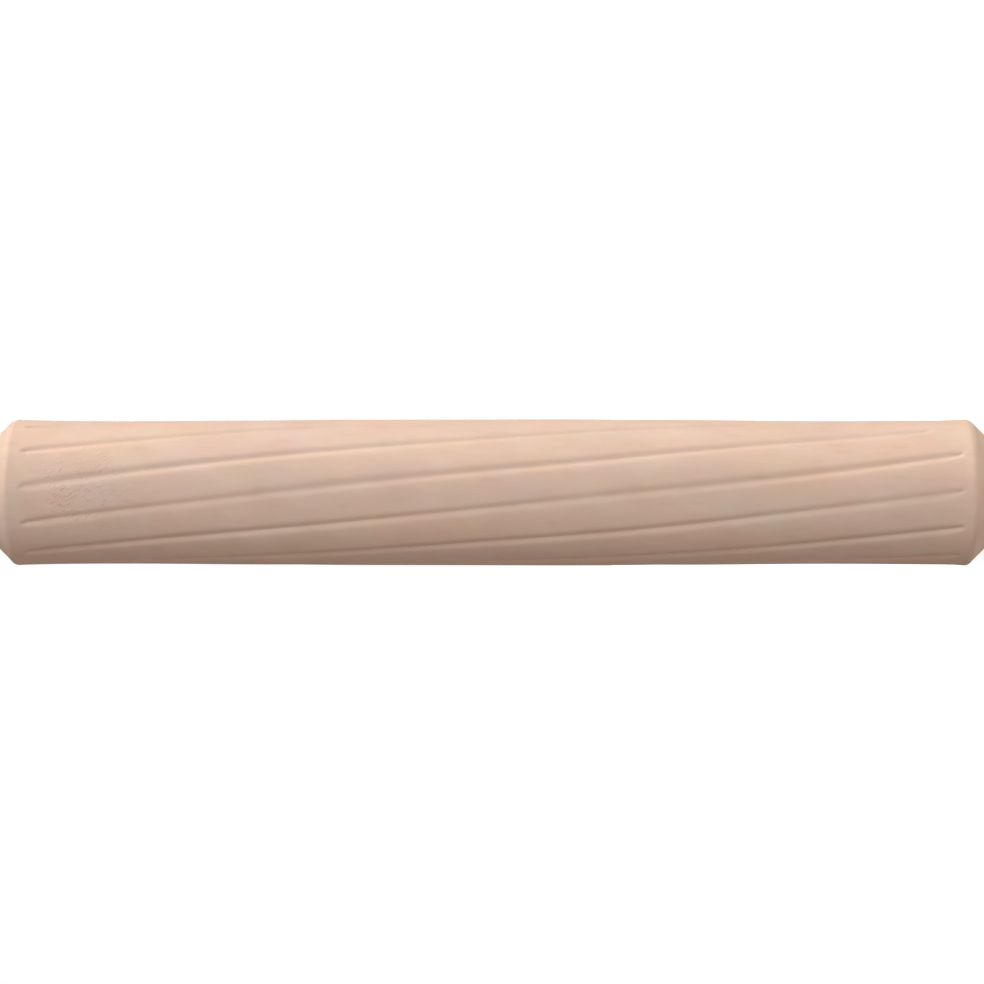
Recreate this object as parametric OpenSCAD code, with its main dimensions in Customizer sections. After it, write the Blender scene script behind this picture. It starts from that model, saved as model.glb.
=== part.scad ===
// Wooden dowel pin with chamfered ends and pressed spiral glue grooves.
// It stands on its lower end face, with its axis on +Z.

/* [Pin] */
// Diameter of the pin over its plain ends
pin_d = 5.9; // [5:0.1:12]
// Length of the pin between its end faces
pin_l = 40; // [25:1:80]
// Length of the 45 degree chamfer at each end
chamfer_l = 0.7; // [0.3:0.1:1.2]

/* [Grooves] */
// Number of grooves around the pin
groove_count = 12; // [6:1:16]
// Width of a groove at the pin's surface
groove_w = 0.44; // [0.3:0.02:0.6]
// Depth of a groove below the pin's surface
groove_depth = 0.08; // [0.04:0.01:0.12]
// Plain collar between a chamfer and the tip of a groove
collar_l = 0.4; // [0.1:0.1:3]
// Length over which a groove runs out to the surface at its tips
runout_l = 0.4; // [0.4:0.1:3]
// Turn of a groove from end to end at its lead at mid-length, in degrees
even_turn = 79.5; // [20:0.5:140]
// Further turn from end to end, as the lead shortens towards the ends, in degrees
end_turn = 15; // [0:1:40]
// Angle of the first groove at mid-length, in degrees from +X
first_groove = 17.5; // [0:0.5:59]

/* [Hidden] */
beech = [0.86, 0.74, 0.66];

pin_r = pin_d / 2;
end_face_r = pin_r - chamfer_l;
mid_z = pin_l / 2;

// a groove is pressed by a round nose, whose radius follows from width and depth
nose_r = (groove_w * groove_w / 4 + groove_depth * groove_depth) / (2 * groove_depth);
// half the angle of the nose that lies below the surface, and the part of it that is swept
sunk_angle = acos(1 - groove_depth / nose_r);
swept_angle = 1.3 * sunk_angle;
nose_steps = 4;
// height of the cutter's back above the surface
back_h = groove_w;

// stations along a groove: close together in the run-outs, even between them
tip_z = chamfer_l + collar_l;
runout_shares = [-0.3, 0.1, 0.5];
even_from = tip_z + runout_l;
even_to = pin_l - even_from;
even_steps = 16;
lower_runout = [for (s = runout_shares) tip_z + s * runout_l];
stations = concat(
    lower_runout,
    [for (i = [0 : even_steps]) even_from + (even_to - even_from) * i / even_steps],
    [for (i = [1 : len(lower_runout)]) pin_l - lower_runout[len(lower_runout) - i]]
);

// left-handed turn of a groove at height z, from mid-length
function turn(z) =
    let (share = (z - mid_z) / mid_z)
    -(even_turn * share + end_turn * pow(share, 3)) / 2;

// height by which the nose is lifted out of its full depth, in the run-outs
function lift(z) =
    let (from_tip = min(z, pin_l - z) - tip_z)
    groove_depth * pow(max(0, 1 - from_tip / runout_l), 2);

// section of the cutter as [distance along the circumference, height above the surface]
nose_section = concat(
    [for (i = [0 : nose_steps])
        let (a = swept_angle * (1 - 2 * i / nose_steps))
        [nose_r * sin(a), nose_r * (1 - cos(a)) - groove_depth]],
    [[0, back_h]]
);

// one point of the section, wrapped round the pin at height z
function on_pin(p, z) =
    let (a = turn(z) + p[0] / pin_r * 180 / PI, r = pin_r + p[1] + lift(z))
    [r * cos(a), r * sin(a), z];

// one groove, as the nose swept along its stations
module groove_cutter() {
    n = len(nose_section);
    last = len(stations) - 1;
    points = [for (z = stations, p = nose_section) on_pin(p, z)];
    walls = [for (k = [0 : last - 1], j = [0 : n - 1])
        let (a = k * n + j, b = k * n + (j + 1) % n)
        each [[a, a + n, b + n], [a, b + n, b]]];
    lower_cap = [for (j = [0 : n - 1]) j];
    upper_cap = [for (j = [n - 1 : -1 : 0]) last * n + j];
    polyhedron(points, concat(walls, [lower_cap], [upper_cap]), convexity = 4);
}

// round pin with a chamfer at each end
module blank() {
    rotate_extrude($fn = 120)
        polygon([
            [0, 0],
            [end_face_r, 0],
            [pin_r, chamfer_l],
            [pin_r, pin_l - chamfer_l],
            [end_face_r, pin_l],
            [0, pin_l]
        ]);
}

module dowel_pin() {
    color(beech)
        difference() {
            blank();
            for (i = [0 : groove_count - 1])
                rotate(first_groove + i * 360 / groove_count)
                    groove_cutter();
        }
}

dowel_pin();
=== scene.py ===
import math
import random

import bmesh
import bpy
from mathutils import Matrix, Vector


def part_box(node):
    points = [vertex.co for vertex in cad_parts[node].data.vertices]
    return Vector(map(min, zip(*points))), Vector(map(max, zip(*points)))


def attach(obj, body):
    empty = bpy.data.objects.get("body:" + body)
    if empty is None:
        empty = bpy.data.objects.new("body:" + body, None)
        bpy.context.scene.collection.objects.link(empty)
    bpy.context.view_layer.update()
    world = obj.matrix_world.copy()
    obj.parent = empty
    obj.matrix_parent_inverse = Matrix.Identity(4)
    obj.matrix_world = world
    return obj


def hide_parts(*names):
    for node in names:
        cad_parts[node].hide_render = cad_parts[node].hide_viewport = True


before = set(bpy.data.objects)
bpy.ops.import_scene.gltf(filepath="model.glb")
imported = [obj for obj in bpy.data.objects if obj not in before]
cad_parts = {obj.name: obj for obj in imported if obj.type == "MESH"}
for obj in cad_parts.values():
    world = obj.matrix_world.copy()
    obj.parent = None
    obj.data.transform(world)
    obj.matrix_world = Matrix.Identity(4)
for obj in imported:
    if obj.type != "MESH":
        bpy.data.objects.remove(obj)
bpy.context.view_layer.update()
print("frame loaded:", sorted(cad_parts))

metresPerMm = 0.001  # the pin is shaped in millimetres and set in metres at the end
pinLow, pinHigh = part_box("dowel_pin")
pinRadius = (pinHigh.x - pinLow.x) / 2 / metresPerMm
pinLength = (pinHigh.z - pinLow.z) / metresPerMm
pinMiddle = pinLength / 2


# camera, turned on its side so that the standing pin lies across the picture
camera = {
    "pictureSide": 984,      # pixels
    "pixelsPerMm": 24.625,   # scale at the pin's axis
    "distance": 116.5,       # mm from the pin's axis
    "tilt": 1.17,            # degrees, the foot of the pin is a little nearer than its top
    "aimAbove": -0.072,      # mm along the pin from mid-length to the middle of the picture
    "aimAside": 0.018,       # mm from the pin's axis to the middle of the picture
    "sensor": 36.0,          # mm
    "clip": (0.001, 10.0),   # metres
}


def makeCamera():
    tilt = math.radians(camera["tilt"])
    forward = Vector((0, math.cos(tilt), math.sin(tilt)))
    up = Vector((1, 0, 0))
    right = forward.cross(up)
    aim = Vector((camera["aimAside"], 0, pinMiddle + camera["aimAbove"]))
    place = (aim - forward * camera["distance"]) * metresPerMm
    data = bpy.data.cameras.new("photoCamera")
    data.sensor_width = camera["sensor"]
    focalPixels = camera["pixelsPerMm"] * camera["distance"]
    data.lens = camera["sensor"] * focalPixels / camera["pictureSide"]
    data.clip_start, data.clip_end = camera["clip"]
    holder = bpy.data.objects.new("photoCamera", data)
    bpy.context.scene.collection.objects.link(holder)
    turn = Matrix((right, up, -forward)).transposed().to_4x4()
    holder.matrix_world = Matrix.Translation(place) @ turn
    bpy.context.scene.camera = holder
    print("camera: lens", round(data.lens, 2), "mm")


# soft studio light: round softboxes about the pin, a pale sky and the bounce of the floor
# turn is in degrees round the pin from the side that faces the camera, rise in degrees above the floor
studio = {
    "softboxes": {
        "overhead": {"turn": -95.5, "rise": 33, "across": 0.58, "watts": 10.8, "colour": (1.0, 0.94, 0.84)},
        "upperFront": {"turn": -36.5, "rise": 32, "across": 0.62, "watts": 9.0, "colour": (0.81, 0.915, 1.0)},
        "front": {"turn": 22, "rise": 15, "across": 0.72, "watts": 2.35, "colour": (1.0, 0.86, 0.67)},
        "behind": {"turn": 180, "rise": 15, "across": 0.48, "watts": 4.6, "colour": (1.0, 0.97, 0.93)},
    },
    "boxDistance": 1.2,      # metres
    "skyLight": (0.225, 0.193, 0.198),
    "backdrop": 1.0,         # what the camera sees past the floor
    "floorColour": (0.42, 0.42, 0.41),
    "floorGlow": (0.35, 0.355, 0.33),  # paper that shines back into the chamfer at the foot
    "glowReach": (0.0030, 0.0045),     # metres from the pin's axis, where the glow starts to fade and ends
    "floorLift": 0.92,       # added for the camera alone, so that the floor reads as white paper
    "floorLiftNear": 0.76,   # the same at the foot of the pin, where its shadow may show
    "liftReach": (0.0022, 0.0034),     # metres from the pin's axis, where the lift starts to grow and is full
    "floorRadius": 0.7,      # metres
    "floorSides": 96,
}


def makeSoftbox(name, box):
    data = bpy.data.lights.new(name, "AREA")
    data.shape = "DISK"
    data.size = box["across"]
    data.energy = box["watts"]
    data.color = box["colour"]
    turn = math.radians(box["turn"])
    rise = math.radians(box["rise"])
    flat = math.cos(rise)
    towards = Vector((-math.sin(turn) * flat, -math.cos(turn) * flat, math.sin(rise)))
    holder = bpy.data.objects.new(name, data)
    bpy.context.scene.collection.objects.link(holder)
    holder.location = Vector((0, 0, pinMiddle * metresPerMm)) + towards * studio["boxDistance"]
    holder.rotation_mode = "QUATERNION"
    holder.rotation_quaternion = towards.to_track_quat("Z", "Y")
    holder.visible_camera = False


def addNode(tree, kind, inputs=None, **settings):
    # inputs are values, or the sockets that feed them
    node = tree.nodes.new("ShaderNode" + kind)
    for name, value in settings.items():
        setattr(node, name, value)
    for name, value in (inputs or {}).items():
        if isinstance(value, bpy.types.NodeSocket):
            tree.links.new(value, node.inputs[name])
        else:
            node.inputs[name].default_value = value
    return node


def makeSky():
    world = bpy.data.worlds.new("studioSky")
    bpy.context.scene.world = world
    world.use_nodes = True
    tree = world.node_tree
    tree.nodes.clear()
    path = addNode(tree, "LightPath")
    light = addNode(tree, "Background", {"Color": (*studio["skyLight"], 1)})
    paper = addNode(tree, "Background", {"Color": (1, 1, 1, 1), "Strength": studio["backdrop"]})
    blend = addNode(tree, "MixShader", {
        0: path.outputs["Is Camera Ray"], 1: light.outputs[0], 2: paper.outputs[0],
    })
    addNode(tree, "OutputWorld", {"Surface": blend.outputs[0]})


def makeFloor():
    bm = bmesh.new()
    bmesh.ops.create_circle(bm, cap_ends=True, segments=studio["floorSides"], radius=studio["floorRadius"])
    mesh = bpy.data.meshes.new("floor")
    bm.to_mesh(mesh)
    bm.free()
    floor = bpy.data.objects.new("floor", mesh)
    bpy.context.scene.collection.objects.link(floor)
    material = bpy.data.materials.new("floorPaper")
    material.use_nodes = True
    tree = material.node_tree
    tree.nodes.clear()
    place = addNode(tree, "TexCoord")
    away = addNode(tree, "VectorMath", {0: place.outputs["Object"]}, operation="LENGTH")

    def fade(reach, inside, outside):
        node = addNode(tree, "MapRange", {
            "Value": away.outputs["Value"], "From Min": reach[0], "From Max": reach[1],
            "To Min": inside, "To Max": outside,
        }, interpolation_type="SMOOTHSTEP")
        return node.outputs["Result"]

    lift = fade(studio["liftReach"], studio["floorLiftNear"], studio["floorLift"])
    white = addNode(tree, "Emission", {"Strength": lift})
    shine = fade(studio["glowReach"], 1.0, 0.0)
    glow = addNode(tree, "Emission", {"Color": (*studio["floorGlow"], 1), "Strength": shine})
    path = addNode(tree, "LightPath")
    added = addNode(tree, "MixShader", {
        0: path.outputs["Is Camera Ray"], 1: glow.outputs[0], 2: white.outputs[0],
    })
    paper = addNode(tree, "BsdfDiffuse", {"Color": (*studio["floorColour"], 1)})
    total = addNode(tree, "AddShader", {0: paper.outputs[0], 1: added.outputs[0]})
    addNode(tree, "OutputMaterial", {"Surface": total.outputs[0]})
    mesh.materials.append(material)


# the pin itself, sizes in millimetres and angles in degrees
pin = {
    "chamfer": 0.70,
    "edgeRound": 0.15,       # length of the rounding along each side of the chamfer's edges
    "edgeSegments": 5,
    "grooves": 12,
    "evenTurn": 79.5,        # turn of a groove from end to end at its mid-length lead
    "endTurn": 15.0,         # further turn, gained towards both ends
    "firstGroove": 17.6,     # at mid-length, from +X
    "grooveDepth": 0.076,
    "grooveSpread": 0.110,   # from the middle of a groove to the steepest part of its wall
    "tips": {                # plain collar past a groove, and the length over which it runs out
        "foot": {"collar": 0.42, "runout": 0.24},
        "top": {"collar": 0.50, "runout": 0.32},
    },
    "stopsShort": {"groove": 9, "foot": 1.55},   # one groove ends early
    "tipWidth": 0.62,        # share of its spread that a groove keeps at its tip
    "tipLength": 1.0,        # length over which it widens from there
    "columnsPerGroove": 30,
    "crowding": 0.72,        # how far the columns gather at the grooves
    "zones": {"tip": 2.0, "run": 4.0},   # end lengths with closer rings
    "ringSpacing": {"face": 0.28, "chamfer": 0.12, "tip": 0.05, "run": 0.14, "middle": 0.36},
    "dips": [                # slight waists beside the ends and a slight swell at mid-length
        {"depth": 0.057, "height": 34.7, "reach": 5.2},
        {"depth": 0.063, "height": 6.1, "reach": 4.7},
        {"depth": -0.008, "height": 17.3, "reach": 2.8},
    ],
    "flares": {              # the collars stand out again past the waists
        "foot": [{"out": 0.026, "length": 0.47}],
        "top": [{"out": 0.014, "length": 0.45}, {"out": 0.022, "length": 2.2}],
    },
    "proud": 0.0043,         # the whole shank stands out by this
    "offCentre": {"foot": 0.030, "top": 0.035},    # the chamfers are cut this far towards +X
    "paintedRimShade": {"shank": 0.45, "chamfer": 0.10},   # how far the painted shade at the foot's rim reaches, darkening the light that the rim catches
    "sawnFrom": 0.85,        # share of the chamfer past which the wood is rough from the saw
    "depthScatter": 0.10,    # share of the depth
    "tipScatter": 0.06,
    "wander": 0.35,          # degrees by which a groove strays from its line
    "waves": (1.6, 3.2),     # fewest and most half waves in that, on half the pin
    "seed": 12,
    "tolerance": 1e-4,
}


def smoothRise(share):
    share = min(max(share, 0.0), 1.0)
    return share * share * (3 - 2 * share)


def turnAt(height):
    share = (height - pinMiddle) / pinMiddle
    return -math.radians(pin["evenTurn"] * share + pin["endTurn"] * share ** 3) / 2


def standOutAt(height):
    out = pin["proud"]
    for end, away in (("foot", height), ("top", pinLength - height)):
        for flare in pin["flares"][end]:
            out += flare["out"] * smoothRise(1 - (away - pin["chamfer"]) / flare["length"])
    for dip in pin["dips"]:
        out -= dip["depth"] * math.exp(-((height - dip["height"]) / dip["reach"]) ** 2)
    return out


def spanKind(first, second):
    if abs(first.z - second.z) < pin["tolerance"]:
        return "face"
    fromEnd = min((first.z + second.z) / 2, pinLength - (first.z + second.z) / 2)
    if fromEnd < pin["chamfer"]:
        return "chamfer"
    for kind, length in pin["zones"].items():
        if fromEnd < length:
            return kind
    return "middle"


def halfSection(bm):
    # wire from the middle of the foot, out over the chamfer, up the shank and in again at the top
    faceRadius = pinRadius - pin["chamfer"]
    lower = [(0, 0), (faceRadius, 0), (pinRadius, pin["chamfer"])]
    lower += [(pinRadius, length) for length in pin["zones"].values()]
    upper = [(out, pinLength - height) for out, height in reversed(lower)]
    corners = [bm.verts.new((out, 0, height)) for out, height in lower + upper]
    for first, second in zip(corners, corners[1:]):
        bm.edges.new((first, second))
    rims = corners[1:3] + corners[-3:-1]
    bmesh.ops.bevel(bm, geom=rims, offset=pin["edgeRound"], offset_type="OFFSET",
                    segments=pin["edgeSegments"], profile=0.5, affect="VERTICES", material=-1)
    cuts = {}
    for edge in bm.edges:
        spacing = pin["ringSpacing"][spanKind(edge.verts[0].co, edge.verts[1].co)]
        cuts.setdefault(math.ceil(edge.calc_length() / spacing) - 1, []).append(edge)
    for count, edges in cuts.items():
        if count > 0:
            bmesh.ops.subdivide_edges(bm, edges=edges, cuts=count)


def crowdColumns(bm):
    count = pin["grooves"]
    for vert in bm.verts:
        out = math.hypot(vert.co.x, vert.co.y)
        angle = math.atan2(vert.co.y, vert.co.x)
        angle -= pin["crowding"] / count * math.sin(count * angle)
        vert.co.x = out * math.cos(angle)
        vert.co.y = out * math.sin(angle)


def drawLines():
    draw = random.Random(pin["seed"])
    lines = []
    for number in range(pin["grooves"]):
        lines.append({
            "depth": pin["grooveDepth"] * (1 + pin["depthScatter"] * draw.uniform(-1, 1)),
            "foot": pin["tips"]["foot"]["collar"] + pin["tipScatter"] * draw.uniform(-1, 1),
            "top": pin["tips"]["top"]["collar"] + pin["tipScatter"] * draw.uniform(-1, 1),
            "phase": draw.uniform(0, 2 * math.pi),
            "waves": draw.uniform(*pin["waves"]),
        })
    lines[pin["stopsShort"]["groove"]]["foot"] = pin["stopsShort"]["foot"]
    return lines


def pressGrooves(bm):
    # the grooves still run straight here, and the body is drawn in and swelled with them
    lines = drawLines()
    pitch = 2 * math.pi / pin["grooves"]
    pressed = bm.verts.layers.float.new("pressed")
    sawn = bm.verts.layers.float.new("sawn")
    paintedRimShade = bm.verts.layers.float.new("paintedRimShade")
    for vert in bm.verts:
        height = vert.co.z
        fromFoot = height - pin["chamfer"]
        fromTop = pinLength - height - pin["chamfer"]
        fromRim = min(fromFoot, fromTop)
        vert[sawn] = smoothRise((-fromRim / pin["chamfer"] - pin["sawnFrom"]) / (1 - pin["sawnFrom"]))
        # painted shade: the colour is darkened near the foot's rim, on the shank and on the chamfer
        reach = pin["paintedRimShade"]["shank" if fromFoot > 0 else "chamfer"]
        vert[paintedRimShade] = smoothRise(1 - abs(fromFoot) / reach)
        out = math.hypot(vert.co.x, vert.co.y)
        if out < pin["tolerance"]:
            continue
        angle = math.atan2(vert.co.y, vert.co.x)
        nearest = round(angle / pitch)
        line = lines[nearest % pin["grooves"]]
        bend = math.radians(pin["wander"]) * math.sin(
            line["phase"] + line["waves"] * math.pi * (height - pinMiddle) / pinMiddle)
        sunk, width = 1.0, 1.0
        for end, away in (("foot", fromFoot), ("top", fromTop)):
            past = away - line[end]
            sunk *= smoothRise(past / pin["tips"][end]["runout"])
            width *= pin["tipWidth"] + (1 - pin["tipWidth"]) * smoothRise(past / pin["tipLength"])
        across = (angle - nearest * pitch - bend) * pinRadius / (pin["grooveSpread"] * width)
        share = math.exp(-across * across / 2) * sunk
        grown = standOutAt(height) * smoothRise(out / pinRadius)
        scale = (out + grown - line["depth"] * share) / out
        vert.co.x *= scale
        vert.co.y *= scale
        vert[pressed] = share


def twistRings(bm):
    rings = {}
    for vert in bm.verts:
        rings.setdefault(round(vert.co.z, 4), []).append(vert)
    first = math.radians(pin["firstGroove"])
    for height, verts in rings.items():
        turn = Matrix.Rotation(first + turnAt(height), 3, "Z")
        bmesh.ops.rotate(bm, cent=(0, 0, 0), matrix=turn, verts=verts)


def shiftChamfers(bm):
    for vert in bm.verts:
        for end, away in (("foot", vert.co.z), ("top", pinLength - vert.co.z)):
            past = pin["chamfer"] - away
            vert.co.x += pin["offCentre"][end] * smoothRise(past / pin["edgeRound"])


def makePin(material):
    bm = bmesh.new()
    halfSection(bm)
    columns = pin["grooves"] * pin["columnsPerGroove"]
    bmesh.ops.spin(bm, geom=bm.verts[:] + bm.edges[:], cent=(0, 0, 0), axis=(0, 0, 1),
                   angle=2 * math.pi, steps=columns, use_merge=True)
    bmesh.ops.remove_doubles(bm, verts=bm.verts, dist=pin["tolerance"])
    bmesh.ops.recalc_face_normals(bm, faces=bm.faces)
    crowdColumns(bm)
    pressGrooves(bm)
    twistRings(bm)
    shiftChamfers(bm)
    bmesh.ops.scale(bm, vec=(metresPerMm,) * 3, verts=bm.verts)
    for face in bm.faces:
        face.smooth = True
    mesh = bpy.data.meshes.new("pinBody")
    bm.to_mesh(mesh)
    bm.free()
    mesh.materials.append(material)
    piece = bpy.data.objects.new("pinBody", mesh)
    bpy.context.scene.collection.objects.link(piece)
    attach(piece, "root")
    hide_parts("dowel_pin")
    print("pin:", len(mesh.vertices), "vertices,", len(mesh.polygons), "faces")
    return piece


# pale steamed beech, colours linear and sizes in millimetres
beech = {
    "colour": (0.701, 0.497, 0.389),
    "endGrain": (0.560, 0.376, 0.272),
    "specular": 0.25,
    "roughness": 0.66,
    "roughnessSwing": 0.10,            # from fibre to fibre
    "endRoughness": 0.12,              # added on the sawn faces
    "burnish": 0.12,                   # taken off in the grooves
    "pith": (-10.8, 42.6, 0.0),        # the tree's heart lies off to one side of the pin
    "lean": 5.0,                       # degrees between the tree's heart and the pin
    "ring": 1.3,                       # width of a year's growth
    "lateWood": (0.35, 0.9),           # shares of a year at which the wood starts to darken and is darkest
    "ringWobble": {"size": (2.5, 2.5, 9.0), "swing": 0.6},
    "patches": {                       # soft drifts between two tints, size across and along the pin
        "ripe": {"size": (1.0, 1.0, 1.9), "low": (0.968, 0.888, 0.834), "high": (1.032, 1.112, 1.166)},
        "blush": {"size": (1.6, 1.6, 3.0), "low": (0.911, 0.983, 1.041), "high": (1.089, 1.017, 0.959)},
        "mauve": {"size": (1.4, 1.4, 2.4), "low": (0.975, 1.058, 0.968), "high": (1.025, 0.942, 1.032)},
    },
    "fibre": (0.07, 0.07, 2.6),        # along a ring, out from the heart and along the tree
    "ray": (0.34, 3.2, 1.5),
    "raySpot": {"edge": 0.34, "core": 0.12, "keep": 0.6},    # keep is the share of cells with one
    "pore": (0.11, 0.11, 5.0),
    "poreSpot": {"edge": 0.42, "core": 0.2, "keep": 0.8},
    "sawMark": (0.16, 3.0, 3.0),
    "noiseRoughness": 0.55,
    "noiseDetail": {"soft": 1.0, "fine": 2.0, "patch": 3.0},
    "shift": {                         # moves each pattern, so that no two lie alike
        "fibre": 0.0, "sawMark": 1.0, "ray": 2.0, "ring": 3.0, "lifted": 4.0, "pore": 7.0, "group": 14.5,
        "firstPatch": 5.0, "nextPatch": 6.0,
    },
    "fibreSwing": 0.08,
    "ringDark": 0.014,
    "rayDark": 0.035,
    "endRingDark": 0.09,               # the same on the sawn faces
    "endRayLight": 0.10,
    "poreDark": 0.20,
    # painted shade at the foot's rim, as a share taken off the colour
    "paintedRimShadeDark": 0.04,
    "fibreHeight": 0.003,
    "poreDepth": 0.008,
    "sawHeight": 0.008,
    "liftedAt": (0.30, -2.93, 36.3),   # a patch of lifted fibre ends near the top
    "liftedReach": (2.9, 0.9),         # where the patch ends, and where it is densest
    "liftedSlant": 33.0,               # degrees by which they lean off the pin's length
    "liftedSize": (0.07, 0.9, 0.27),
    "liftedEdge": (0.56, 0.67),        # noise from which a fibre end starts to show, and shows fully
    "liftedGroup": (0.55, 0.9, 0.7),
    "liftedGroupEdge": (0.42, 0.58),
    "liftedLight": 0.10,
    "liftedHeight": 0.018,
}


def scaled(tree, place, sizes, shift=0.0):
    spread = addNode(tree, "Mapping", {
        "Vector": place, "Scale": [1 / size for size in sizes], "Location": (shift, shift, shift),
    })
    return spread.outputs["Vector"]


def cloud(tree, place, sizes, shift, detail="fine"):
    noise = addNode(tree, "TexNoise", {
        "Vector": scaled(tree, place, sizes, shift), "Scale": 1.0,
        "Detail": beech["noiseDetail"][detail], "Roughness": beech["noiseRoughness"],
    })
    return noise.outputs[0]


def calculate(tree, operation, *values):
    node = addNode(tree, "Math", dict(enumerate(values)), operation=operation)
    return node.outputs[0]


def swing(tree, value, amount):
    # a noise about 0.5 becomes a factor about 1
    return calculate(tree, "MULTIPLY_ADD", value, amount, 1 - amount / 2)


def lessBy(tree, value, amount):
    return calculate(tree, "MULTIPLY_ADD", value, -amount, 1.0)


def ramp(tree, value, start, end):
    node = addNode(tree, "MapRange", {"Value": value, "From Min": start, "From Max": end},
                   interpolation_type="SMOOTHSTEP")
    return node.outputs["Result"]


def product(tree, values):
    total = values[0]
    for value in values[1:]:
        total = calculate(tree, "MULTIPLY", total, value)
    return total


def addUp(tree, values):
    total = values[0]
    for value in values[1:]:
        total = calculate(tree, "ADD", total, value)
    return total


def mixColour(tree, share, first, second, kind="MIX"):
    node = addNode(tree, "Mix", {0: share, 6: first, 7: second}, data_type="RGBA", blend_type=kind)
    return node.outputs[2]


def dots(tree, place, sizes, shift, spot):
    # small spots, one to a cell, of which only some are kept
    cells = addNode(tree, "TexVoronoi", {"Vector": scaled(tree, place, sizes, shift), "Scale": 1.0})
    lot = addNode(tree, "SeparateColor", {"Color": cells.outputs["Color"]})
    kept = calculate(tree, "LESS_THAN", lot.outputs[0], spot["keep"])
    return product(tree, [ramp(tree, cells.outputs["Distance"], spot["edge"], spot["core"]), kept])


def treePlace(tree, place):
    # along a ring, out from the heart and along the tree
    leaning = addNode(tree, "Mapping", {
        "Vector": place, "Rotation": (math.radians(beech["lean"]), 0, 0),
        "Location": [-part for part in beech["pith"]],
    })
    parts = addNode(tree, "SeparateXYZ", {0: leaning.outputs["Vector"]})
    flat = addNode(tree, "CombineXYZ", {0: parts.outputs[0], 1: parts.outputs[1]})
    away = addNode(tree, "VectorMath", {0: flat.outputs[0]}, operation="LENGTH")
    angle = calculate(tree, "ARCTAN2", parts.outputs[1], parts.outputs[0])
    around = calculate(tree, "MULTIPLY", angle, Vector(beech["pith"]).length)
    joined = addNode(tree, "CombineXYZ", {0: around, 1: away.outputs["Value"], 2: parts.outputs[2]})
    return joined.outputs[0], away.outputs["Value"]


def growthRings(tree, place, away):
    # late wood darkens slowly and ends at a line
    drift = cloud(tree, place, beech["ringWobble"]["size"], beech["shift"]["ring"])
    wobble = swing(tree, drift, beech["ringWobble"]["swing"])
    years = calculate(tree, "MULTIPLY_ADD", away, 1 / beech["ring"], wobble)
    season = calculate(tree, "FRACT", years)
    start, darkest = beech["lateWood"]
    return product(tree, [ramp(tree, season, start, darkest), ramp(tree, season, 1.0, darkest)])


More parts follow.
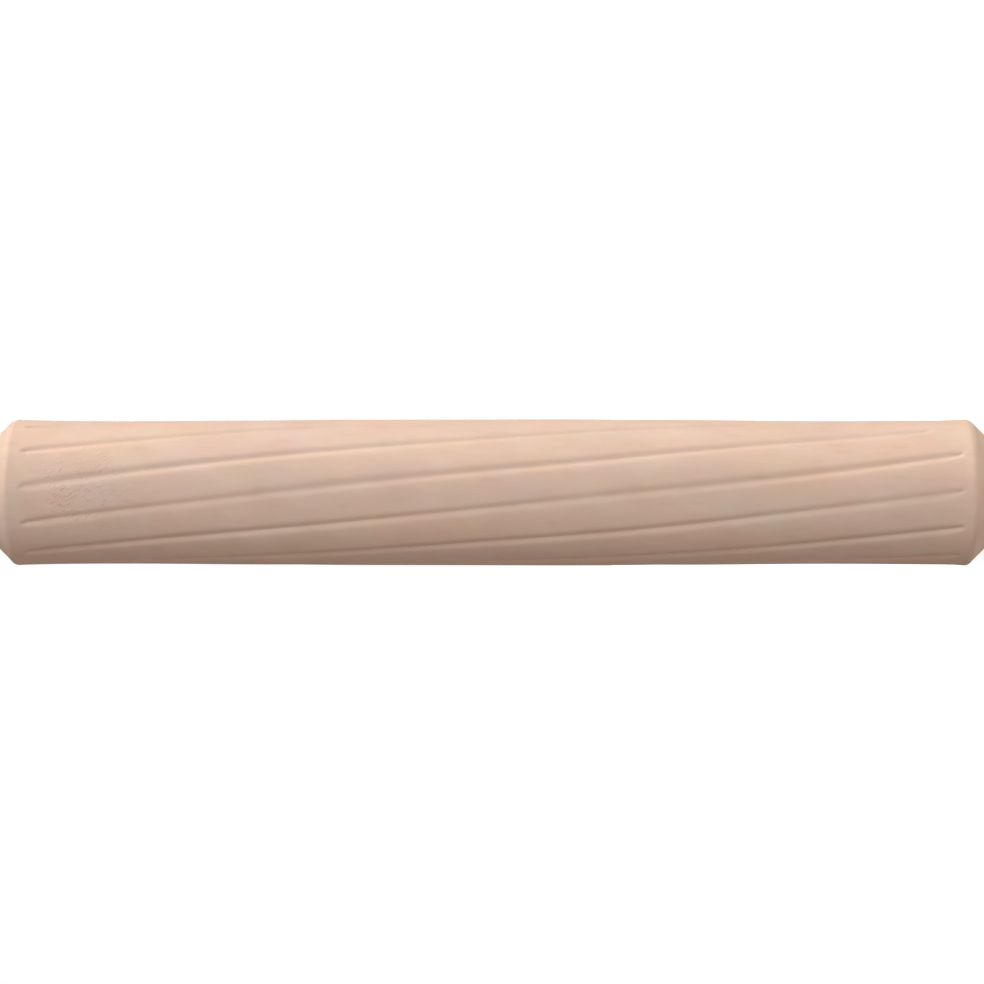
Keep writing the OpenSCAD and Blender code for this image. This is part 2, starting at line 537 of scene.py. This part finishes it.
def makeBeech():
    material = bpy.data.materials.new("paleBeech")
    material.use_nodes = True
    tree = material.node_tree
    shader = tree.nodes["Principled BSDF"]
    shader.inputs["Specular IOR Level"].default_value = beech["specular"]

    spot = addNode(tree, "TexCoord")
    inMm = addNode(tree, "VectorMath", {0: spot.outputs["Object"], "Scale": 1 / metresPerMm},
                   operation="SCALE")
    place = inMm.outputs[0]
    grain, away = treePlace(tree, place)
    pressed = addNode(tree, "Attribute", attribute_name="pressed").outputs["Fac"]
    sawn = addNode(tree, "Attribute", attribute_name="sawn").outputs["Fac"]
    notSawn = lessBy(tree, sawn, 1.0)
    # painted shade near the foot's rim, read from the mesh
    paintedRimShade = addNode(tree, "Attribute", attribute_name="paintedRimShade").outputs["Fac"]

    shift = beech["shift"]
    fibres = cloud(tree, grain, beech["fibre"], shift["fibre"])
    rings = growthRings(tree, place, away)
    rays = dots(tree, grain, beech["ray"], shift["ray"], beech["raySpot"])
    pores = product(tree, [dots(tree, grain, beech["pore"], shift["pore"], beech["poreSpot"]), sawn])
    sawMarks = product(tree, [cloud(tree, place, beech["sawMark"], shift["sawMark"]), sawn])

    middle = addNode(tree, "VectorMath", {0: place, 1: beech["liftedAt"]}, operation="DISTANCE")
    patch = ramp(tree, middle.outputs["Value"], *beech["liftedReach"])
    crowds = cloud(tree, place, beech["liftedGroup"], shift["group"], "soft")
    groups = ramp(tree, crowds, *beech["liftedGroupEdge"])
    slant = math.radians(beech["liftedSlant"])
    slanted = addNode(tree, "Mapping", {"Vector": place, "Rotation": (0, slant, 0)})
    strokes = cloud(tree, slanted.outputs["Vector"], beech["liftedSize"], shift["lifted"], "soft")
    lifted = product(tree, [ramp(tree, strokes, *beech["liftedEdge"]), groups, patch])
    print("beech: grain laid out")

    ringDark = calculate(tree, "MULTIPLY_ADD", sawn, beech["endRingDark"], beech["ringDark"])
    shade = product(tree, [
        swing(tree, fibres, beech["fibreSwing"]),
        lessBy(tree, product(tree, [rings, ringDark]), 1.0),
        lessBy(tree, product(tree, [rays, notSawn]), beech["rayDark"]),
        lessBy(tree, product(tree, [rays, sawn]), -beech["endRayLight"]),
        lessBy(tree, pores, beech["poreDark"]),
        # painted shade: darker near the foot's rim
        lessBy(tree, paintedRimShade, beech["paintedRimShadeDark"]),
        lessBy(tree, lifted, -beech["liftedLight"]),
    ])
    colour = (*beech["colour"], 1)
    for number, drift in enumerate(beech["patches"].values()):
        share = cloud(tree, place, drift["size"], shift["firstPatch"] + shift["nextPatch"] * number, "patch")
        tint = mixColour(tree, share, (*drift["low"], 1), (*drift["high"], 1))
        colour = mixColour(tree, 1.0, colour, tint, "MULTIPLY")
    colour = mixColour(tree, sawn, colour, (*beech["endGrain"], 1))
    colour = mixColour(tree, 1.0, colour, shade, "MULTIPLY")
    tree.links.new(colour, shader.inputs["Base Color"])

    glossSwing = beech["roughnessSwing"]
    gloss = addUp(tree, [
        calculate(tree, "MULTIPLY_ADD", fibres, glossSwing, beech["roughness"] - glossSwing / 2),
        calculate(tree, "MULTIPLY", sawn, beech["endRoughness"]),
        calculate(tree, "MULTIPLY", pressed, -beech["burnish"]),
    ])
    tree.links.new(gloss, shader.inputs["Roughness"])

    height = addUp(tree, [
        calculate(tree, "MULTIPLY", fibres, beech["fibreHeight"]),
        calculate(tree, "MULTIPLY", pores, -beech["poreDepth"]),
        calculate(tree, "MULTIPLY", sawMarks, beech["sawHeight"]),
        calculate(tree, "MULTIPLY", lifted, beech["liftedHeight"]),
    ])
    relief = addNode(tree, "Bump", {"Height": height, "Distance": metresPerMm})
    tree.links.new(relief.outputs[0], shader.inputs["Normal"])
    print("beech: colour, gloss and relief set")
    return material


makeCamera()
for boxName, box in studio["softboxes"].items():
    makeSoftbox(boxName, box)
makeSky()
makeFloor()
print("studio lit:", len(studio["softboxes"]), "softboxes")
makePin(makeBeech())
bpy.context.scene.view_settings.view_transform = "Standard"
